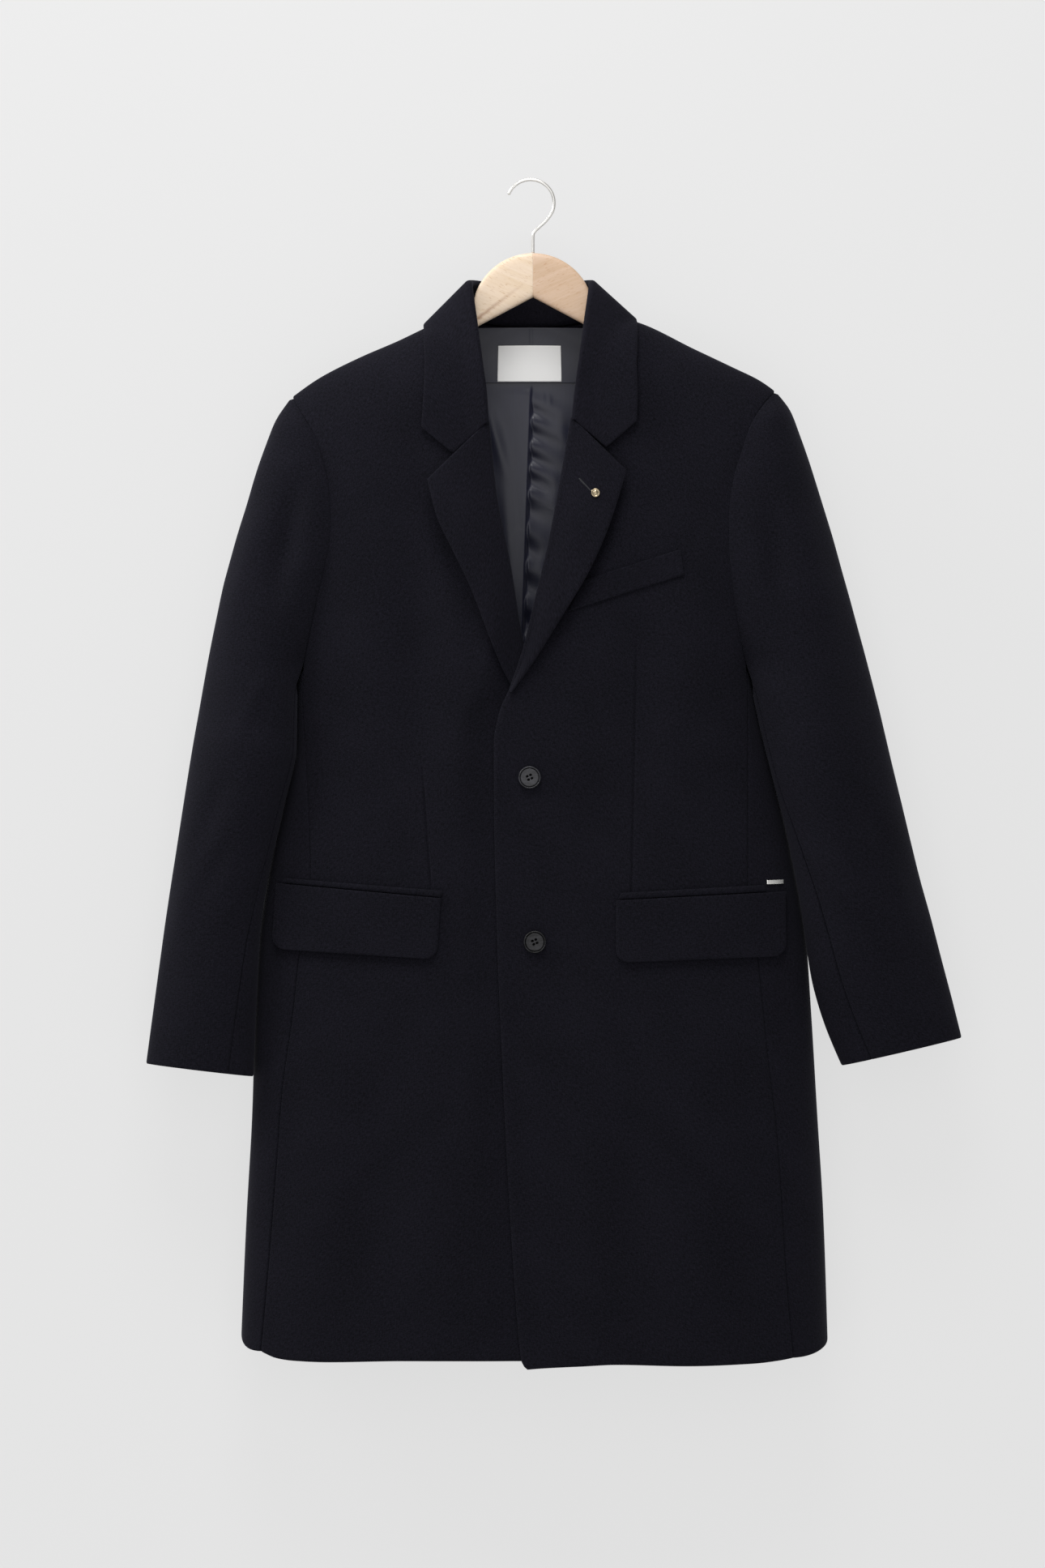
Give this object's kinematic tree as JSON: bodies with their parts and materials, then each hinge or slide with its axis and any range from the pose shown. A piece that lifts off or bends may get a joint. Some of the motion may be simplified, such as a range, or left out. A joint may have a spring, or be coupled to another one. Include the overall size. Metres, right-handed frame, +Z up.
{
  "type": "long wool coat on a hanger",
  "caption": "Long single-breasted wool coat with notched lapels and flap pockets, buttoned and hanging hollow on a wooden hanger with a wire hook.",
  "frame": {"origin": "inner top of the hook's bow, where a rail bears", "axes": "+Z up, +X to the wearer's left, -Y is the coat's front"},
  "size_m": [0.787, 0.1166, 1.1463],
  "materials": {
    "wool": "milled melton, matt",
    "satin": "satin lining",
    "cotton": "woven label, bare",
    "horn": "satin",
    "beech": "clear satin lacquer",
    "steel": "satin"
  },
  "bodies": {
    "root": {"back": "wool", "left_front": "wool", "right_front": "wool", "left_side": "wool", "right_side": "wool", "left_top_sleeve": "wool", "left_under_sleeve": "wool", "right_top_sleeve": "wool", "right_under_sleeve": "wool", "collar": "wool", "left_lapel": "wool", "right_lapel": "wool", "left_flap": "wool", "right_flap": "wool", "left_jet": "wool", "right_jet": "wool", "chest_welt": "wool", "lining_yoke": "satin", "lining_back": "satin", "neck_label": "cotton", "button_top": "horn", "button_low": "horn", "lapel_pin": "steel", "metal_tag": "steel", "hook": "steel", "left_hanger_arm": "beech", "right_hanger_arm": "beech"}
  },
  "joints": []
}
